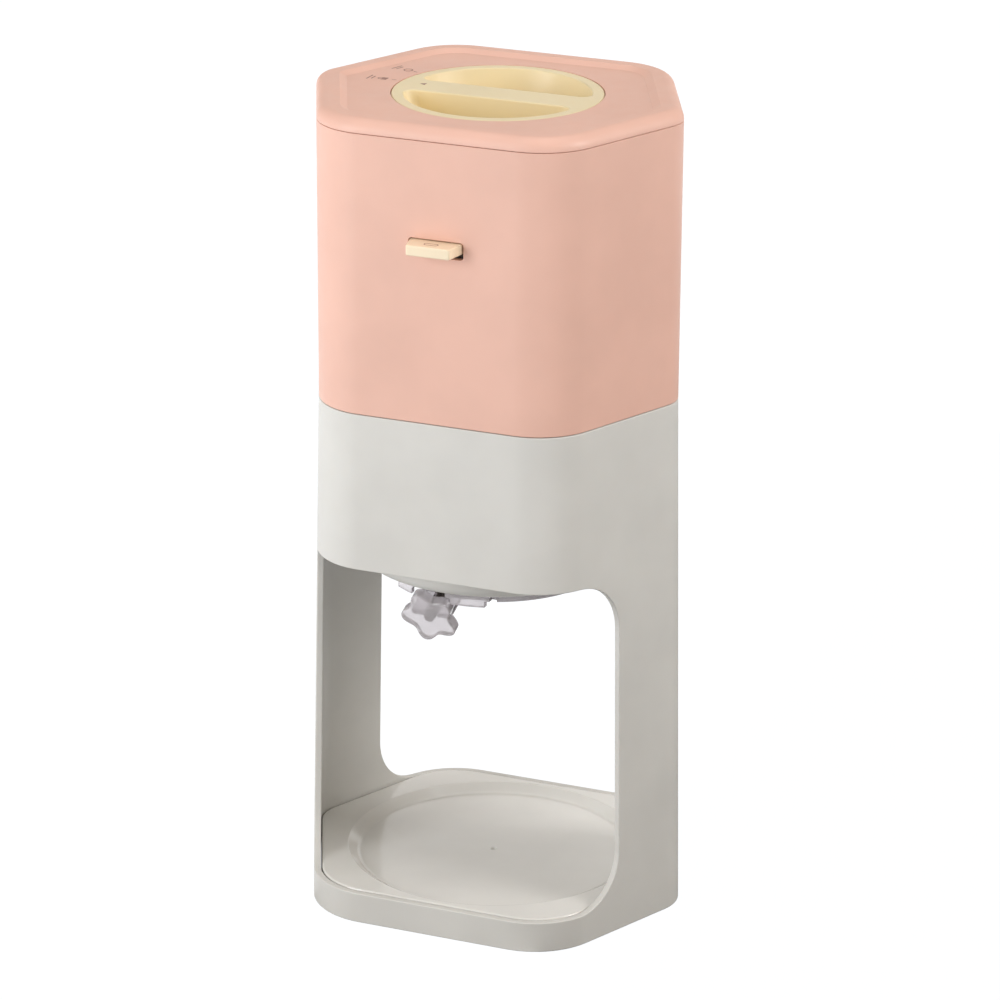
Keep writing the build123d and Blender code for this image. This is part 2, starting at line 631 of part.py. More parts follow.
PLUNGER_PLACE = (-4, -47, 292.7)
TAB_SIZE = (0.6, 3.0, 3.0)
TAB_PLACES = [(-6, -48, 303.7), (0, -48, 303.7), (6, -48, 303.7)]
lever_low = LEVER_Z - LEVER_THICK / 2
lever_high = LEVER_Z + LEVER_THICK / 2

with BuildPart() as switch_lever:
    with BuildSketch(Plane.XY.offset(lever_low)) as pad:
        Polygon((-LEVER_HALF_FRONT, LEVER_FRONT), (LEVER_HALF_FRONT, LEVER_FRONT),
                (LEVER_HALF_BACK, -HALF_DEPTH), (LEVER_HALF_BACK, LEVER_TAIL),
                (-LEVER_HALF_BACK, LEVER_TAIL), (-LEVER_HALF_BACK, -HALF_DEPTH), align=None)
        fillet(pad.vertices().group_by(Axis.Y)[0], 1.0)
    extrude(amount=LEVER_THICK)
    fillet(switch_lever.faces().sort_by(Axis.Y)[0].edges().filter_by(Axis.X), LEVER_ROUND)
    with Locations((0, LEVER_PIN_Y, LEVER_Z)):
        Cylinder(HUB_OUTER, 2 * LEVER_HALF_BACK, rotation=(0, 90, 0))
        Cylinder(PIN_RADIUS + RUN, 2 * CHEEK_HALF, rotation=(0, 90, 0), mode=Mode.SUBTRACT)
save(switch_lever.part, "switch_lever")

with BuildPart() as lever_pin:
    with Locations((0, LEVER_PIN_Y, LEVER_Z)):
        Cylinder(PIN_RADIUS, 2 * (CHEEK_HALF + CHEEK_THICK), rotation=(0, 90, 0))
save(lever_pin.part, "lever_pin")

with BuildPart() as lever_bracket:
    for side in (-1, 1):
        with Locations((side * (CHEEK_HALF + CHEEK_THICK / 2), LEVER_PIN_Y, CHEEK_Z)):
            Box(CHEEK_THICK, *CHEEK_SIZE)
    with Locations((0, LEVER_PIN_Y - 0.5, SHELF_Z)):
        Box(2 * (CHEEK_HALF + CHEEK_THICK), *SHELF_SIZE)
    with Locations((0, *BRIDGE_PLACE)):
        Box(2 * (CHEEK_HALF + CHEEK_THICK), 6, CHEEK_THICK)
    with Locations((0, LEVER_SPRING_Y, LEVER_SPRING_LOW - GAP)):
        Cylinder(PEG_RADIUS, 2 * GAP)
    with Locations((0, LEVER_PIN_Y, LEVER_Z)):
        Cylinder(PIN_RADIUS, 3 * CHEEK_HALF, rotation=(0, 90, 0), mode=Mode.SUBTRACT)
save(lever_bracket.part, "lever_bracket")

with BuildPart() as lever_spring:
    lever_coil_height = lever_low - LEVER_SPRING_LOW - 2 * LEVER_WIRE - 0.1
    lever_pitch = lever_coil_height / LEVER_TURNS
    coil_centre = (0, LEVER_SPRING_Y, 0)
    with BuildLine(Plane.XY.offset(LEVER_SPRING_LOW + LEVER_WIRE + 0.05)) as small_coil:
        Helix(pitch=lever_pitch, height=lever_coil_height, radius=LEVER_COIL_RADIUS, center=coil_centre)
    with BuildSketch(Plane(origin=small_coil.line @ 0, z_dir=small_coil.line % 0)):
        Circle(LEVER_WIRE)
    sweep(path=small_coil.line)
save(lever_spring.part, "lever_spring")

with BuildPart() as micro_switch:
    with Locations(SWITCH_PLACE):
        Box(*SWITCH_SIZE)
        Cylinder(SWITCH_PIN_RADIUS, 2 * CHEEK_HALF, rotation=(0, 90, 0))
    with Locations(PLUNGER_PLACE):
        Cylinder(PEG_RADIUS, 1.2)
    with Locations(*TAB_PLACES):
        Box(*TAB_SIZE)
save(micro_switch.part, "micro_switch")

# ======================= Clear blade case and its adjuster =======================
CASE_LOW = 138.5
CASE_FLANGE_TOP = DOME_LOW - GAP
CASE_DECK = (144.0, 147.0)
CASE_INNER = 36.0
CASE_OUTER = 38.5
CASE_FLANGE_RADIUS = 44.5
SKIRT_LOW = 136.0
SKIRT_GAPS = ((-60, -28), (-20, -1.5), (12.5, 60))
SKIRT_THICK = 2.4
SKIRT_BACK = 30.0
FRONT_CUT_Y = -45.0
FLANGE_SLIT = (15.8, 2.8)
SLIT_LEAVE = 1.6
FORK_NOTCH = (15.4, 14.0)
FORK_NOTCH_Y = -42.0
NOTCH_LEAVE = 2.4
DECK_HUB_RADIUS = 4.0
BLADE_OPENING_Y = (-15.0, 5.0)
WEB_PLACE = (-24.0, 139.0)
WEB_SIZE = (2.0, 12.0, 12.0)
BRIDGE = (18.5, 21.5)
BRIDGE_HALF = 3.4
FORK_THICK = 2.4
FORK_INNER = 2.6
FORK_OUTER = 8.2
FORK_NEAR = 5.6
FORK_FAR = 24.0
KNOB_THICK = 5.2
KNOB_MEAN = 10.4
KNOB_WAVE = 1.6
KNOB_LOBES = 5
KNOB_STEPS = 40
KNOB_TURN = 112.0
COLLAR_RADIUS = 2.3
HOLDER_NEAR = 25.6
HOLDER_FAR = 43.0
BLADE_REACH = 48.0
BLADE_LIFT = 3.2
BLADE_THICK = 0.6
BLADE_LEFT = -30.0
BLADE_RIGHT = -5.0
BLADE_BEVEL = 1.4
KNOB_ROUND = 0.8
KNOB_SKIN = 1.2
COLLARS = [(KNOB_THICK, KNOB_THICK + 1.4), (16.8, 18.2), (21.8, 23.4)]
FOOT_HALF = 5.4
FOOT_DROP = 3.6
BLADE_SCREW_DEPTH = 36.0
BLADE_SCREW_PLACES = (-9.5, 2.0)
BLADE_SCREW_RADIUS = 0.9
BLADE_SCREW_HEAD = (1.7, 0.9)
BLADE_SCREW_LENGTH = 3.0

tilt = radians(SCREW_TILT)
screw_plane = Plane(origin=(SCREW_X, SCREW_Y, SCREW_Z), x_dir=(1, 0, 0), z_dir=(0, -cos(tilt), -sin(tilt)))


def tilted_box(near, far, left, right, low, high, mode=Mode.ADD):
    """Box along the screw: near and far run inwards from the knob's face, low and high across it."""
    with BuildSketch(screw_plane.offset(-near), mode=Mode.PRIVATE) as section:
        with Locations(((left + right) / 2 - SCREW_X, (low + high) / 2)):
            Rectangle(right - left, high - low)
    extrude(section.sketch, amount=near - far, mode=mode)


def tilted_rod(near, far, radius, mode=Mode.ADD):
    """Round rod along the screw."""
    with BuildSketch(screw_plane.offset(-near), mode=Mode.PRIVATE) as section:
        Circle(radius)
    extrude(section.sketch, amount=near - far, mode=mode)


def knob_points():
    """Soft star outline of the knob, with one lobe at the knob's turn."""
    points = []
    for step in range(KNOB_STEPS):
        turn = 360 * step / KNOB_STEPS
        reach = KNOB_MEAN + KNOB_WAVE * cos(radians(KNOB_LOBES * (turn - KNOB_TURN)))
        points.append((reach * cos(radians(turn)), reach * sin(radians(turn))))
    return points


def blade_screw_spot(place, up):
    """Where a blade screw stands, at a height over the screw's axis, with the local y along it."""
    return screw_plane.offset(-BLADE_SCREW_DEPTH).location * Location((place, up, 0))


with BuildPart() as blade_case:
    ring(CASE_LOW, CASE_DECK[1], CASE_INNER, CASE_OUTER)
    ring(CASE_LOW, CASE_FLANGE_TOP, CASE_INNER, CASE_FLANGE_RADIUS)
    ring(SKIRT_LOW, CASE_LOW + 0.5, CASE_FLANGE_RADIUS - SKIRT_THICK, CASE_FLANGE_RADIUS)
    with Locations((0, HALF_DEPTH - SKIRT_BACK, (SKIRT_LOW + CASE_LOW) / 2)):
        Box(2 * HALF_WIDTH, 2 * HALF_DEPTH, CASE_LOW - SKIRT_LOW, mode=Mode.SUBTRACT)
    for low_x, high_x in SKIRT_GAPS:
        with Locations(((low_x + high_x) / 2, FRONT_CUT_Y, SKIRT_LOW)):
            Box(high_x - low_x, 40, 2 * (CASE_LOW - SKIRT_LOW), mode=Mode.SUBTRACT)
    with Locations((FLANGE_SLIT[0], FRONT_CUT_Y, CASE_LOW)):
        Box(FLANGE_SLIT[1], 12, 2 * (CASE_FLANGE_TOP - CASE_LOW) - SLIT_LEAVE, mode=Mode.SUBTRACT)
    with Locations((SCREW_X, FORK_NOTCH_Y, CASE_LOW)):
        Box(*FORK_NOTCH, 2 * (CASE_FLANGE_TOP - CASE_LOW) - NOTCH_LEAVE, mode=Mode.SUBTRACT)
    ring(CASE_DECK[0], CASE_DECK[1], DECK_HUB_RADIUS - 1, CASE_OUTER)
    disc(CASE_DECK[0], CASE_DECK[1], DECK_HUB_RADIUS)
    with Locations(((BLADE_LEFT + BLADE_RIGHT) / 2, sum(BLADE_OPENING_Y) / 2, CASE_DECK[0] + 1)):
        Box(BLADE_RIGHT - BLADE_LEFT + 3, BLADE_OPENING_Y[1] - BLADE_OPENING_Y[0], 12, mode=Mode.SUBTRACT)
    for side in (-1, 1):
        near_side = SCREW_X + side * FORK_INNER
        far_side = SCREW_X + side * FORK_OUTER
        low_x, high_x = min(near_side, far_side), max(near_side, far_side)
        tilted_box(FORK_NEAR, FORK_FAR, low_x, high_x, -FORK_THICK / 2, FORK_THICK / 2)
        with Locations((SCREW_X + side * (FORK_OUTER - WEB_SIZE[0] / 2), *WEB_PLACE)):
            Box(*WEB_SIZE)
    tilted_box(BRIDGE[0], BRIDGE[1], SCREW_X - FORK_OUTER, SCREW_X + FORK_OUTER, -BRIDGE_HALF, BRIDGE_HALF)
    tilted_rod(BRIDGE[0] - 2, FORK_FAR, SCREW_RADIUS + RUN, mode=Mode.SUBTRACT)
save(blade_case.part, "blade_case")

with BuildPart() as adjuster_knob:
    with BuildSketch(screw_plane.offset(-KNOB_THICK)):
        with BuildLine():
            Spline(*knob_points(), periodic=True)
        make_face()
    extrude(amount=KNOB_THICK)
    fillet(adjuster_knob.faces().filter_by(GeomType.PLANE).edges(), KNOB_ROUND)
    tilted_rod(KNOB_SKIN, KNOB_THICK, SCREW_RADIUS, mode=Mode.SUBTRACT)
save(adjuster_knob.part, "adjuster_knob")

with BuildPart() as adjuster_screw:
    tilted_rod(KNOB_SKIN, HOLDER_NEAR + 3.4, SCREW_RADIUS)
    for near, far in COLLARS:
        tilted_rod(near, far, COLLAR_RADIUS)
save(adjuster_screw.part, "adjuster_screw")

with BuildPart() as blade_holder:
    tilted_box(HOLDER_NEAR, HOLDER_NEAR + 6, SCREW_X - FOOT_HALF, SCREW_X + FOOT_HALF, -FOOT_DROP, BLADE_LIFT)
    tilted_box(HOLDER_NEAR + 3.6, HOLDER_FAR, BLADE_LEFT, BLADE_RIGHT, -0.4, BLADE_LIFT)
    tilted_rod(HOLDER_NEAR - 1, HOLDER_NEAR + 4.4, SCREW_RADIUS + RUN, mode=Mode.SUBTRACT)
    for place in BLADE_SCREW_PLACES:
        with Locations(blade_screw_spot(place, BLADE_LIFT)):
            Cylinder(BLADE_SCREW_RADIUS, 5, rotation=(90, 0, 0), mode=Mode.SUBTRACT)
save(blade_holder.part, "blade_holder")

with BuildPart() as blade:
    side_plane = Plane(origin=(BLADE_LEFT + 0.5, SCREW_Y, SCREW_Z), x_dir=-screw_plane.z_dir, z_dir=(1, 0, 0))
    blade_top = BLADE_LIFT + BLADE_THICK
    with BuildSketch(side_plane):
        Polygon((HOLDER_NEAR + 6, BLADE_LIFT), (BLADE_REACH - BLADE_BEVEL, BLADE_LIFT),
                (BLADE_REACH, blade_top), (HOLDER_NEAR + 6, blade_top), align=None)
    extrude(amount=BLADE_RIGHT - BLADE_LEFT - 1)
    for place in BLADE_SCREW_PLACES:
        with Locations(blade_screw_spot(place, BLADE_LIFT)):
            Cylinder(BLADE_SCREW_RADIUS + 0.1, 5, rotation=(90, 0, 0), mode=Mode.SUBTRACT)
save(blade.part, "blade")

with BuildPart() as blade_screws:
    for place in BLADE_SCREW_PLACES:
        with Locations(blade_screw_spot(place, blade_top + BLADE_SCREW_HEAD[1] / 2)):
            Cylinder(*BLADE_SCREW_HEAD, rotation=(90, 0, 0))
        with Locations(blade_screw_spot(place, blade_top - BLADE_SCREW_LENGTH / 2)):
            Cylinder(BLADE_SCREW_RADIUS, BLADE_SCREW_LENGTH, rotation=(90, 0, 0))
save(blade_screws.part, "blade_screws")
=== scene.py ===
"""Looks of the shaved ice maker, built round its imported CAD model. Metres, in the CAD frame."""
import json
from math import cos, pi, radians, sin

import bmesh
import bpy
from mathutils import Matrix, Vector


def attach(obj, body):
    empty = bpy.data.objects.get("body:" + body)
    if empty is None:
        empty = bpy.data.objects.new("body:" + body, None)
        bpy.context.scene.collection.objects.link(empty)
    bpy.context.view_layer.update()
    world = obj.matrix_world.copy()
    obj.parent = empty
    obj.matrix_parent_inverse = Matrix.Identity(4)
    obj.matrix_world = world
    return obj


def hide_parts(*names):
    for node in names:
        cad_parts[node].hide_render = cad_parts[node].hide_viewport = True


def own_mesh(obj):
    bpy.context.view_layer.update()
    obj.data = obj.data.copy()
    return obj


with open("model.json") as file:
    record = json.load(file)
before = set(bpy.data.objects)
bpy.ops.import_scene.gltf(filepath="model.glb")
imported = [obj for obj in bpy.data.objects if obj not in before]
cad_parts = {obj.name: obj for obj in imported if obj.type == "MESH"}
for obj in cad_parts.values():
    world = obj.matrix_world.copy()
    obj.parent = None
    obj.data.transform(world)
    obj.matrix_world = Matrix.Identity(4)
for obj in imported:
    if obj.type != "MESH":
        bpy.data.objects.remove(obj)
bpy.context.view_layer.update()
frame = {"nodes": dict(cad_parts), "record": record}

MM = 0.001
NOISE_SPAN = (0.3, 0.7)


# ---------------------------------------------------------------- materials
def new_material(name):
    """Node material, its node tree and its Principled shader."""
    material = bpy.data.materials.new(name)
    material.use_nodes = True
    tree = material.node_tree
    return material, tree, tree.nodes["Principled BSDF"]


def noise(tree, scale, detail, stretch=(1, 1, 1)):
    """Noise texture in object space, with its own mapping."""
    where = tree.nodes.new("ShaderNodeTexCoord")
    mapping = tree.nodes.new("ShaderNodeMapping")
    mapping.inputs["Scale"].default_value = stretch
    texture = tree.nodes.new("ShaderNodeTexNoise")
    texture.inputs["Scale"].default_value = scale
    texture.inputs["Detail"].default_value = detail
    tree.links.new(where.outputs["Object"], mapping.inputs["Vector"])
    tree.links.new(mapping.outputs["Vector"], texture.inputs["Vector"])
    return texture.outputs["Fac"]


def spread(tree, value, low, high):
    """Map the usual span of a noise value onto a range of numbers."""
    node = tree.nodes.new("ShaderNodeMapRange")
    node.inputs["From Min"].default_value = NOISE_SPAN[0]
    node.inputs["From Max"].default_value = NOISE_SPAN[1]
    node.inputs["To Min"].default_value = low
    node.inputs["To Max"].default_value = high
    tree.links.new(value, node.inputs["Value"])
    return node.outputs["Result"]


def two_tone(tree, value, dark, light):
    """Colour ramp between two close colours."""
    ramp = tree.nodes.new("ShaderNodeValToRGB")
    ramp.color_ramp.elements[0].position = 0.35
    ramp.color_ramp.elements[0].color = (*dark, 1)
    ramp.color_ramp.elements[1].position = 0.65
    ramp.color_ramp.elements[1].color = (*light, 1)
    tree.links.new(value, ramp.inputs["Fac"])
    return ramp.outputs["Color"]


def bump(tree, shader, value, strength, distance):
    """Fine relief on a shader."""
    node = tree.nodes.new("ShaderNodeBump")
    node.inputs["Strength"].default_value = strength
    node.inputs["Distance"].default_value = distance
    tree.links.new(value, node.inputs["Height"])
    tree.links.new(node.outputs["Normal"], shader.inputs["Normal"])


def linear(red, green, blue):
    """Screen colour in 0 to 255 as a linear colour."""
    return tuple(((c / 255 + 0.055) / 1.055) ** 2.4 for c in (red, green, blue))


def shade(colour, factor):
    """A colour made darker or lighter by a factor."""
    return tuple(c * factor for c in colour)


def moulded(name, colour, rough=(0.38, 0.5), variation=0.03, grain=0.12, grain_scale=2600, coat=0.0):
    """Moulded plastic: faint cloudiness, uneven sheen and a spark-eroded grain."""
    material, tree, shader = new_material(name)
    cloud = noise(tree, 28, 3)
    tone = two_tone(tree, cloud, shade(colour, 1 - variation), shade(colour, 1 + variation))
    tree.links.new(tone, shader.inputs["Base Color"])
    sheen = noise(tree, 160, 4)
    tree.links.new(spread(tree, sheen, *rough), shader.inputs["Roughness"])
    shader.inputs["IOR"].default_value = 1.5
    shader.inputs["Coat Weight"].default_value = coat
    shader.inputs["Coat Roughness"].default_value = 0.12
    shader.inputs["Subsurface Weight"].default_value = 0.06
    shader.inputs["Subsurface Radius"].default_value = (1.0, 0.7, 0.5)
    shader.inputs["Subsurface Scale"].default_value = 1.2 * MM
    bump(tree, shader, noise(tree, grain_scale, 2), grain, 0.03 * MM)
    return material


def clear(name, colour, rough=(0.03, 0.1)):
    """Clear moulded plastic with faint flow marks."""
    material, tree, shader = new_material(name)
    tone = two_tone(tree, noise(tree, 60, 2), shade(colour, 0.97), colour)
    tree.links.new(tone, shader.inputs["Base Color"])
    tree.links.new(spread(tree, noise(tree, 220, 3), *rough), shader.inputs["Roughness"])
    shader.inputs["Transmission Weight"].default_value = 0.62
    shader.inputs["IOR"].default_value = 1.47
    bump(tree, shader, noise(tree, 90, 2, stretch=(1, 1, 3)), 0.15, 0.2 * MM)
    return material


def metal(name, colour, rough=(0.22, 0.4), stretch=(1, 1, 40), grain=0.25):
    """Drawn or ground metal with fine lines along one direction."""
    material, tree, shader = new_material(name)
    lines = noise(tree, 900, 3, stretch=stretch)
    tree.links.new(two_tone(tree, lines, shade(colour, 0.86), colour), shader.inputs["Base Color"])
    tree.links.new(spread(tree, lines, *rough), shader.inputs["Roughness"])
    shader.inputs["Metallic"].default_value = 1.0
    bump(tree, shader, lines, grain, 0.02 * MM)
    return material


def rubber(name, colour):
    """Soft matt rubber with a dusty bloom."""
    material, tree, shader = new_material(name)
    tone = two_tone(tree, noise(tree, 400, 5), shade(colour, 0.85), shade(colour, 1.2))
    tree.links.new(tone, shader.inputs["Base Color"])
    tree.links.new(spread(tree, noise(tree, 300, 3), 0.7, 0.9), shader.inputs["Roughness"])
    bump(tree, shader, noise(tree, 1500, 3), 0.4, 0.05 * MM)
    return material


def solder_mask(name, colour, trace):
    """Circuit board: dark mask with lighter copper runs beneath it."""
    material, tree, shader = new_material(name)
    where = tree.nodes.new("ShaderNodeTexCoord")
    bricks = tree.nodes.new("ShaderNodeTexBrick")
    bricks.inputs["Scale"].default_value = 260
    bricks.inputs["Mortar Size"].default_value = 0.08
    bricks.inputs["Color1"].default_value = (*colour, 1)
    bricks.inputs["Color2"].default_value = (*shade(colour, 0.8), 1)
    bricks.inputs["Mortar"].default_value = (*trace, 1)
    turned = tree.nodes.new("ShaderNodeMapping")
    turned.inputs["Rotation"].default_value = (pi / 2, 0, 0)
    tree.links.new(where.outputs["Object"], turned.inputs["Vector"])
    tree.links.new(turned.outputs["Vector"], bricks.inputs["Vector"])
    tree.links.new(bricks.outputs["Color"], shader.inputs["Base Color"])
    tree.links.new(spread(tree, noise(tree, 200, 2), 0.25, 0.4), shader.inputs["Roughness"])
    bump(tree, shader, bricks.outputs["Fac"], 0.2, 0.05 * MM)
    return material


WHITE = linear(222, 221, 217)
PINK = linear(240, 194, 177)
CREAM = linear(243, 227, 187)
CLEAR = linear(250, 246, 250)
LEVER_CREAM = linear(255, 238, 208)
INK = linear(168, 128, 116)
STEEL = linear(200, 198, 194)

MATERIALS = {
    "white_plastic": moulded("white_moulding", WHITE),
    "tray_plastic": moulded("tray_moulding", linear(234, 233, 229), rough=(0.1, 0.16), grain=0.02, coat=0.6),
    "pink_plastic": moulded("pink_moulding", PINK),
    "cream_plastic": moulded("cream_moulding", CREAM, rough=(0.32, 0.42)),
    "inner_plastic": moulded("inner_moulding", shade(WHITE, 0.92), rough=(0.45, 0.6), grain=0.2),
    "gear_plastic": moulded("gear_moulding", linear(235, 230, 216), rough=(0.3, 0.42)),
    "drum_plastic": moulded("drum_moulding", linear(226, 230, 232), rough=(0.15, 0.25), coat=0.3),
    "clear_plastic": clear("clear_moulding", CLEAR),
    "holder_plastic": moulded("holder_moulding", linear(180, 180, 182), rough=(0.35, 0.5)),
    "blade_steel": metal("ground_steel", STEEL, rough=(0.15, 0.3)),
    "screw_steel": metal("turned_steel", linear(150, 144, 134)),
    "foot_rubber": rubber("grey_rubber", linear(110, 110, 108)),
    "motor_steel": metal("plated_steel", linear(186, 184, 176), stretch=(1, 1, 12)),
    "gearbox_plastic": moulded("black_moulding", linear(48, 48, 50), rough=(0.4, 0.55), variation=0.1),
    "board_green": solder_mask("board_mask", linear(40, 96, 58), linear(84, 140, 84)),
    "cell_wrap": moulded("cell_sleeve", linear(60, 110, 150), rough=(0.2, 0.3), coat=0.3),
}

node_slot = {part["node"]: part["material_slot"] for part in frame["record"]["subparts"]}
for node_name, node_object in frame["nodes"].items():
    node_object.data.materials.clear()
    node_object.data.materials.append(MATERIALS[node_slot[node_name]])
frame["nodes"]["switch_lever"].data.materials[0] = moulded("lever_moulding", LEVER_CREAM, rough=(0.3, 0.4))


# ---------------------------------------------------------------- softened edges
WELD = 0.002 * MM
FLAT_ANGLE = radians(0.4)
SHARP_ANGLE = radians(38)
EDGE_STEPS = 3
SOFT_EDGES = (("stand", "frame", 0.5 * MM), ("upper_housing", "frame", 0.25 * MM),
              ("switch_lever", "lever", 0.35 * MM))


def soften(node_name, body, width):
    """Shown copy of a CAD node with its sharp edges rounded."""
    node = frame["nodes"][node_name]
    copy = bpy.data.objects.new(node_name + "_soft", node.data.copy())
    bpy.context.scene.collection.objects.link(copy)
    copy.matrix_world = node.matrix_world.copy()
    mesh = bmesh.new()
    mesh.from_mesh(copy.data)
    bmesh.ops.remove_doubles(mesh, verts=mesh.verts, dist=WELD)
    bmesh.ops.dissolve_limit(mesh, angle_limit=FLAT_ANGLE, verts=mesh.verts, edges=mesh.edges)
    mesh.to_mesh(copy.data)
    mesh.free()
    copy.data.shade_smooth()
    bevel = copy.modifiers.new("edge", "BEVEL")
    bevel.width = width
    bevel.segments = EDGE_STEPS
    bevel.limit_method = "ANGLE"
    bevel.angle_limit = SHARP_ANGLE
    bevel.use_clamp_overlap = False
    flatten = copy.modifiers.new("flatten", "WEIGHTED_NORMAL")
    flatten.mode = "FACE_AREA"
    flatten.weight = 100
    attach(copy, body)
    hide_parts(node_name)


for soft_name, soft_body, soft_width in SOFT_EDGES:
    soften(soft_name, soft_body, soft_width)


# ---------------------------------------------------------------- spring copies
def compress(node_name, body):
    """Shown copy of a coil spring, attached to a body in place of its CAD node."""
    node = frame["nodes"][node_name]
    coil = bpy.data.objects.new(node_name + "_coil", node.data.copy())
    bpy.context.scene.collection.objects.link(coil)
    coil.matrix_world = node.matrix_world.copy()
    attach(coil, body)
    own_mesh(coil)
    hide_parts(node_name)


compress("presser_spring", "presser_mast")
compress("lever_spring", "frame")


# ---------------------------------------------------------------- printed marks
INK_LIFT = 0.04 * MM
PANEL_Z = 334.4 * MM
LEVER_TOP_Z = 291.5 * MM
LOCK_ANGLE = 178
OPEN_ANGLE = 159
ink_material = moulded("printed_ink", INK, rough=(0.5, 0.6), variation=0.08)


def mark(name, centre, height, loops, body):
    """Printed mark: flat closed shapes round a centre, in millimetres, just above a surface."""
    vertices = []
    faces = []
    for loop in loops:
        first = len(vertices)
        vertices += [(centre[0] + x * MM, centre[1] + y * MM, height + INK_LIFT) for x, y in loop]
        faces.append(tuple(range(first, len(vertices))))
    mesh = bpy.data.meshes.new(name)
    mesh.from_pydata(vertices, [], faces)
    mesh.materials.append(ink_material)
    printed = bpy.data.objects.new(name, mesh)
    bpy.context.scene.collection.objects.link(printed)
    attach(printed, body)


def stroke(path, width, closed=False):
    """Quads along a path of points, as a line of one width."""
    ends = path[1:] + path[:1] if closed else path[1:]
    quads = []
    for (x0, y0), (x1, y1) in zip(path, ends):
        along = Vector((x1 - x0, y1 - y0)).normalized() * width / 2
        quads.append([(x0 - along.y, y0 + along.x), (x0 + along.y, y0 - along.x),
                      (x1 + along.y, y1 - along.x), (x1 - along.y, y1 + along.x)])
    return quads


def arc(radius, start, end, steps, at=(0, 0)):
    """Points along an arc, angles in degrees."""
    angles = [radians(start + (end - start) * k / steps) for k in range(steps + 1)]
    return [(at[0] + radius * cos(a), at[1] + radius * sin(a)) for a in angles]


def turned(loops, angle):
    """Loops turned about their centre, angle in degrees."""
    c, s = cos(radians(angle)), sin(radians(angle))
    return [[(c * x - s * y, s * x + c * y) for x, y in loop] for loop in loops]


def on_panel(radius, angle):
    """Place on the cover's panel, from a radius in millimetres and an angle in degrees."""
    return radius * cos(radians(angle)) * MM, radius * sin(radians(angle)) * MM


padlock = [[(-1.6, -1.9), (1.6, -1.9), (1.6, 0.5), (-1.6, 0.5)]]
padlock += stroke([(-1.0, 0.5)] + arc(1.0, 180, 0, 8, at=(0, 1.0)) + [(1.0, 0.5)], 0.5)
mark("lock_mark", on_panel(49.5, LOCK_ANGLE), PANEL_Z, turned(padlock, LOCK_ANGLE - 90), "frame")
open_ring = stroke(arc(1.7, 0, 345, 23), 0.5, closed=True)
mark("open_mark", on_panel(48.5, OPEN_ANGLE), PANEL_Z, open_ring, "frame")
tick = stroke([(-1.0, 0), (1.0, 0)], 0.45)
dash = stroke([(-3.0, 0.8), (3.0, 0.8)], 0.6) + stroke([(-2.0, -0.8), (2.0, -0.8)], 0.6)
for angle, dash_radius in ((LOCK_ANGLE, 54.5), (OPEN_ANGLE, 54.0)):
    mark("tick_%d" % angle, on_panel(44.6, angle), PANEL_Z, turned(tick, angle), "frame")
    mark("dash_%d" % angle, on_panel(dash_radius, angle), PANEL_Z, turned(dash, angle - 90), "frame")
mark("pointer", on_panel(31.5, 179.5), PANEL_Z, [[(-1.6, 0), (0.9, -1.4), (0.9, 1.4)]], "cap")
stadium = arc(1.0, 90, 270, 8, at=(-1.8, 0)) + arc(1.0, 270, 450, 8, at=(1.8, 0))
mark("press_mark", (0, -67.2 * MM), LEVER_TOP_Z, stroke(stadium, 0.35, closed=True), "lever")

# ---------------------------------------------------------------- stage, lights and camera
CAMERA_AZIMUTH = radians(21.812)
CAMERA_PITCH = radians(20.495)
CAMERA_ROLL = radians(0.321)
CAMERA_DISTANCE = 1.74637
LENS = 156.01
SENSOR = 36
LOOK_Z = 165 * MM
SHIFT_RIGHT = 1.70 * MM
SHIFT_DOWN = 0.03 * MM


def place_camera():
    """Camera at the viewing angle: right of the front and looking down."""
    back = Vector((sin(CAMERA_AZIMUTH) * cos(CAMERA_PITCH), -cos(CAMERA_AZIMUTH) * cos(CAMERA_PITCH),
                   sin(CAMERA_PITCH)))
    right = (-back).cross(Vector((0, 0, 1))).normalized()
    up = right.cross(-back)
    turned_right = cos(CAMERA_ROLL) * right + sin(CAMERA_ROLL) * up
    turned_up = cos(CAMERA_ROLL) * up - sin(CAMERA_ROLL) * right
    data = bpy.data.cameras.new("camera")
    data.lens = LENS
    data.sensor_width = SENSOR
    data.clip_end = 20
    camera = bpy.data.objects.new("camera", data)
    bpy.context.scene.collection.objects.link(camera)
    position = Vector((0, 0, LOOK_Z)) + back * CAMERA_DISTANCE
    position += turned_right * SHIFT_RIGHT - turned_up * SHIFT_DOWN
    turn = Matrix((turned_right, turned_up, back)).transposed().to_4x4()
    camera.matrix_world = Matrix.Translation(position) @ turn
    bpy.context.scene.camera = camera


def area_light(name, place, target, size, power, colour=(1, 1, 1)):
    """Soft rectangular light at a place, turned to face a target."""
    data = bpy.data.lights.new(name, "AREA")
    data.shape = "RECTANGLE"
    data.size, data.size_y = size
    data.energy = power
    data.color = colour
    lamp = bpy.data.objects.new(name, data)
    bpy.context.scene.collection.objects.link(lamp)
    lamp.location = place
    lamp.rotation_euler = (Vector(target) - Vector(place)).to_track_quat("-Z", "Y").to_euler()


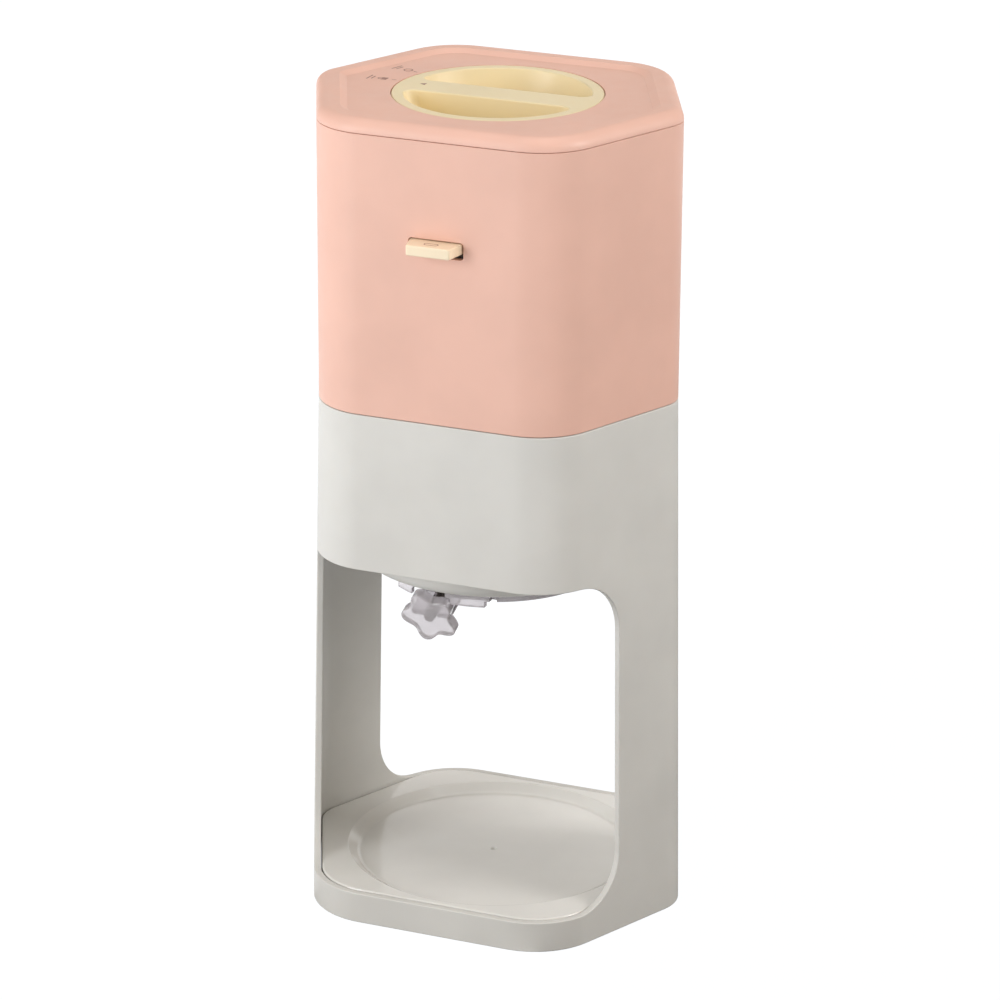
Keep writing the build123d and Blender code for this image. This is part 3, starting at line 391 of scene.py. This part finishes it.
def light_studio():
    """Large soft boxes from the left, above, behind and the right in a warm room."""
    area_light("left_box", (-1.45, -1.95, 0.8), (0, 0, 0.18), (1.0, 1.5), 34, (0.98, 0.99, 1.0))
    area_light("right_box", (2.0, 0.0, 1.1), (0, 0, 0.25), (0.9, 1.2), 25, (1.0, 0.98, 0.96))
    area_light("top_box", (-0.1, 0.2, 2.0), (0, 0, 0.2), (1.8, 1.8), 9)
    area_light("back_box", (-0.5, 1.9, 0.75), (0, 0, 0.02), (1.6, 0.5), 1.5, (0.97, 0.98, 1.0))
    world = bpy.data.worlds.new("studio")
    bpy.context.scene.world = world
    world.use_nodes = True
    world.node_tree.nodes["Background"].inputs["Color"].default_value = (1.0, 0.91, 0.80, 1)
    world.node_tree.nodes["Background"].inputs["Strength"].default_value = 0.37


CARD_LIFT = 0.3 * MM
FLOOR_REACH = 8.0


def fill_card(name, low, high, tone):
    """Dark card on the floor beside the object that takes up light, out of the camera's sight."""
    material, tree, shader = new_material(name)
    felt = two_tone(tree, noise(tree, 90, 3), shade((tone, tone, tone), 0.9), (tone, tone, tone))
    tree.links.new(felt, shader.inputs["Base Color"])
    shader.inputs["Roughness"].default_value = 1.0
    mesh = bpy.data.meshes.new(name)
    corners = [(low[0], low[1]), (high[0], low[1]), (high[0], high[1]), (low[0], high[1])]
    mesh.from_pydata([(x, y, CARD_LIFT) for x, y in corners], [], [(0, 1, 2, 3)])
    mesh.materials.append(material)
    card = bpy.data.objects.new(name, mesh)
    bpy.context.scene.collection.objects.link(card)
    card.visible_camera = False


def lay_floor():
    """White floor that glows evenly, with a faint mottling."""
    material, tree, shader = new_material("floor_paper")
    tone = two_tone(tree, noise(tree, 6, 3), (0.03, 0.03, 0.03), (0.04, 0.04, 0.04))
    tree.links.new(tone, shader.inputs["Base Color"])
    shader.inputs["Roughness"].default_value = 0.9
    shader.inputs["Specular IOR Level"].default_value = 0.1
    shader.inputs["Emission Color"].default_value = (0.97, 0.985, 1.0, 1)
    shader.inputs["Emission Strength"].default_value = 1.03
    mesh = bpy.data.meshes.new("floor")
    corners = [(-FLOOR_REACH, -FLOOR_REACH), (FLOOR_REACH, -FLOOR_REACH),
               (FLOOR_REACH, FLOOR_REACH), (-FLOOR_REACH, FLOOR_REACH)]
    mesh.from_pydata([(x, y, 0) for x, y in corners], [], [(0, 1, 2, 3)])
    mesh.materials.append(material)
    floor = bpy.data.objects.new("floor", mesh)
    bpy.context.scene.collection.objects.link(floor)


place_camera()
light_studio()
lay_floor()
fill_card("right_card", (0.045, -0.55), (1.3, 0.7), 0.03)
fill_card("front_card", (-0.20, -0.8), (0.045, -0.05), 0.4)
bpy.context.scene.view_settings.view_transform = "Standard"
